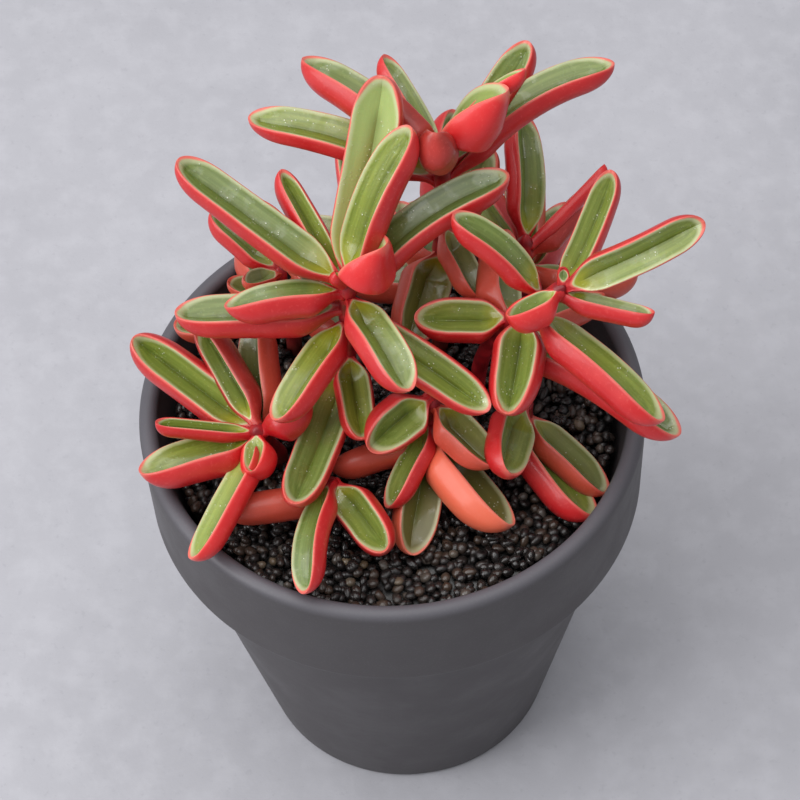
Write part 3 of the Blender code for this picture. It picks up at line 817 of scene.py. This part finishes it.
green = blend(tree, spread(tree, channel, 0.8, 0.97, 0.0, 0.55), green, paint(216, 218, 176))
hull = blend(tree, red, paint(222, 40, 42), paint(134, 4, 14))
# Darker red towards the keel: painted shade on the underside of the hull
hull = blend(tree, spread(tree, around, 0.62, 0.95, 0.0, 0.5), hull, paint(184, 8, 20))
hull = blend(tree, spread(tree, along, 0.45, 0.1, 0.0, 0.7), hull, paint(172, 4, 18))
hull = blend(tree, spread(tree, cloud, 0.35, 0.75, 0.0, 0.25), hull, paint(236, 76, 72))
freckle = maths(tree, "MULTIPLY", spread(tree, fine, 0.55, 0.75), 0.18)
hull = blend(tree, freckle, hull, paint(238, 110, 104))
hull = blend(tree, maths(tree, "MULTIPLY", age, 0.75), hull, paint(232, 118, 84))
coral = blend(tree, maths(tree, "MULTIPLY", red, 0.6), paint(240, 134, 116), paint(204, 60, 58))
hull = blend(tree, spread(tree, channel, 1.24, 1.02, 0.0, 0.85), hull, coral)
skin = blend(tree, spread(tree, channel, 1.05, 0.98), hull, green)
inside = spread(tree, channel, 1.05, 0.85)
wet = maths(tree, "MULTIPLY", spread(tree, noise(tree, place, 240.0), 0.5, 0.62), inside)
bead = put(tree, "ShaderNodeTexVoronoi", {"Vector": place, "Scale": 1100.0}).outputs[0]
# Painted glints: pale spots in the base colour of the wet patches stand for highlights on beads of
# water
painted_glint = maths(tree, "MULTIPLY", spread(tree, bead, 0.2, 0.08, 0.0, 0.75), wet)
skin = blend(tree, painted_glint, skin, paint(240, 244, 226))
tree.links.new(skin, shader.inputs["Base Color"])
coat = maths(tree, "ADD", maths(tree, "MULTIPLY", wet, 0.7), 0.2)
tree.links.new(coat, shader.inputs["Coat Weight"])
gloss = spread(tree, channel, 0.9, 1.1, 0.3, 0.42)
gloss = maths(tree, "ADD", gloss, spread(tree, cloud, 0.3, 0.7, -0.03, 0.06))
tree.links.new(gloss, shader.inputs["Roughness"])
relief = maths(tree, "ADD", maths(tree, "MULTIPLY", vein, 0.7), maths(tree, "MULTIPLY", fine, 0.3))
drop = maths(tree, "MULTIPLY", spread(tree, bead, 0.5, 0.0), maths(tree, "MULTIPLY", wet, 1.6))
relief = maths(tree, "ADD", relief, drop)
wax = put(tree, "ShaderNodeBump", {"Strength": 0.3, "Distance": 0.00015, "Height": relief})
tree.links.new(wax.outputs[0], shader.inputs["Normal"])

stem_skin, tree, shader = new_material("ruby_stem", Subsurface_Weight=0.08, Subsurface_Scale=0.001)
place = put(tree, "ShaderNodeTexCoord").outputs["Object"]
_, _, share, _ = attribute(tree, "leaf_field")
cloud = noise(tree, place, 220.0, 3.0)
bark = blend(tree, spread(tree, cloud, 0.3, 0.7), paint(120, 14, 24), paint(186, 36, 44))
bark = blend(tree, spread(tree, share, 0.25, 0.0, 0.0, 0.7), bark, paint(88, 44, 34))
tree.links.new(bark, shader.inputs["Base Color"])
tree.links.new(spread(tree, cloud, 0.3, 0.7, 0.35, 0.5), shader.inputs["Roughness"])
ribs = put(tree, "ShaderNodeBump", {"Strength": 0.4, "Distance": 0.0002, "Height": cloud})
tree.links.new(ribs.outputs[0], shader.inputs["Normal"])

draw = np.random.default_rng(5)
for name, (points, leaves) in SHOOTS.items():
    shoot_mesh(name, points, leaves, draw)


# The floor and the light
# A plain pale grey floor under a large soft light above the plant, with a second one at its
# left, and the camera at the photograph's angle.

FLOOR_HALF = 3000


def floor_mesh(steps=24):
    """A level square of even quads."""
    line = np.linspace(-FLOOR_HALF, FLOOR_HALF, steps + 1)
    x, y = np.meshgrid(line, line)
    places = np.stack([x, y, 0 * x], 2).reshape(-1, 3)
    row, column = np.meshgrid(np.arange(steps), np.arange(steps), indexing="ij")
    first = (row * (steps + 1) + column).ravel()
    return places, np.stack([first, first + 1, first + steps + 2, first + steps + 1], 1)


concrete, tree, shader = new_material("pale_floor", Specular_IOR_Level=0.3)
grain = grainy(tree, 0.0022)
place = put(tree, "ShaderNodeTexCoord").outputs["Object"]
tint = blend(tree, grain["Cloud"], paint(172, 172, 178), paint(192, 192, 198))
mottle = spread(tree, noise(tree, place, 110.0, 5.0, 0.6), 0.4, 0.7, 0.0, 0.5)
tint = blend(tree, mottle, tint, paint(196, 196, 202))
pit = spread(tree, noise(tree, place, 420.0, 3.0, 0.7), 0.42, 0.3, 0.0, 0.15)
tint = blend(tree, pit, tint, paint(140, 140, 148))
tree.links.new(tint, shader.inputs["Base Color"])
tree.links.new(spread(tree, grain["Cloud"], 0.2, 0.8, 0.6, 0.8), shader.inputs["Roughness"])
texture = put(tree, "ShaderNodeBump", {"Strength": 0.2, "Distance": 0.0003, "Height": grain["Height"]})
tree.links.new(texture.outputs[0], shader.inputs["Normal"])
floor = solid("pale_floor", *floor_mesh(), concrete)


def soft_light(name, place, aim, size, power, colour):
    """A square area light at a place in metres, turned to face a point."""
    light = bpy.data.lights.new(name, "AREA")
    light.size, light.energy, light.color = size, power, colour
    made = bpy.data.objects.new(name, light)
    bpy.context.scene.collection.objects.link(made)
    back = np.subtract(place, aim)
    back = back / np.linalg.norm(back)
    side = np.cross((0.0, 1.0, 0.0) if abs(back[1]) < 0.9 else (0.0, 0.0, 1.0), back)
    side = side / np.linalg.norm(side)
    turn = Matrix(np.column_stack([side, np.cross(back, side), back]).tolist())
    made.matrix_world = Matrix.Translation(place) @ turn.to_4x4()


soft_light("sky_panel", (-0.2, -0.05, 1.2), (0, 0, 0.12), 1.3, 11, (1.0, 0.99, 0.98))
soft_light("window_left", (-1.1, -0.4, 0.8), (0, 0, 0.1), 0.9, 10, (0.99, 0.99, 1.0))

world = bpy.data.worlds.new("studio")
world.use_nodes = True
world.node_tree.nodes["Background"].inputs["Color"].default_value = (0.9, 0.91, 0.95, 1)
world.node_tree.nodes["Background"].inputs["Strength"].default_value = 0.44
bpy.context.scene.world = world
bpy.context.scene.view_settings.view_transform = "Standard"

LIFT, ROLL = np.radians([54.3, -3.3])
DISTANCE = 0.65
AIM = np.array([0.0019, 0.0002, 0.112])
FOCAL_PIXELS, IMAGE_PIXELS, SENSOR = 2870, 800, 36

eye = bpy.data.cameras.new("photo_camera")
eye.sensor_width = SENSOR
eye.lens = SENSOR * FOCAL_PIXELS / IMAGE_PIXELS
eye.clip_end = 20
camera = bpy.data.objects.new("photo_camera", eye)
bpy.context.scene.collection.objects.link(camera)
back = np.array([0, -np.cos(LIFT), np.sin(LIFT)])
right = np.array([1.0, 0, 0])
above = np.cross(back, right)
right, above = (
    np.cos(ROLL) * right + np.sin(ROLL) * above,
    np.cos(ROLL) * above - np.sin(ROLL) * right,
)
turn = Matrix(np.column_stack([right, above, back]).tolist())
camera.matrix_world = Matrix.Translation(AIM + DISTANCE * back) @ turn.to_4x4()
bpy.context.scene.camera = camera
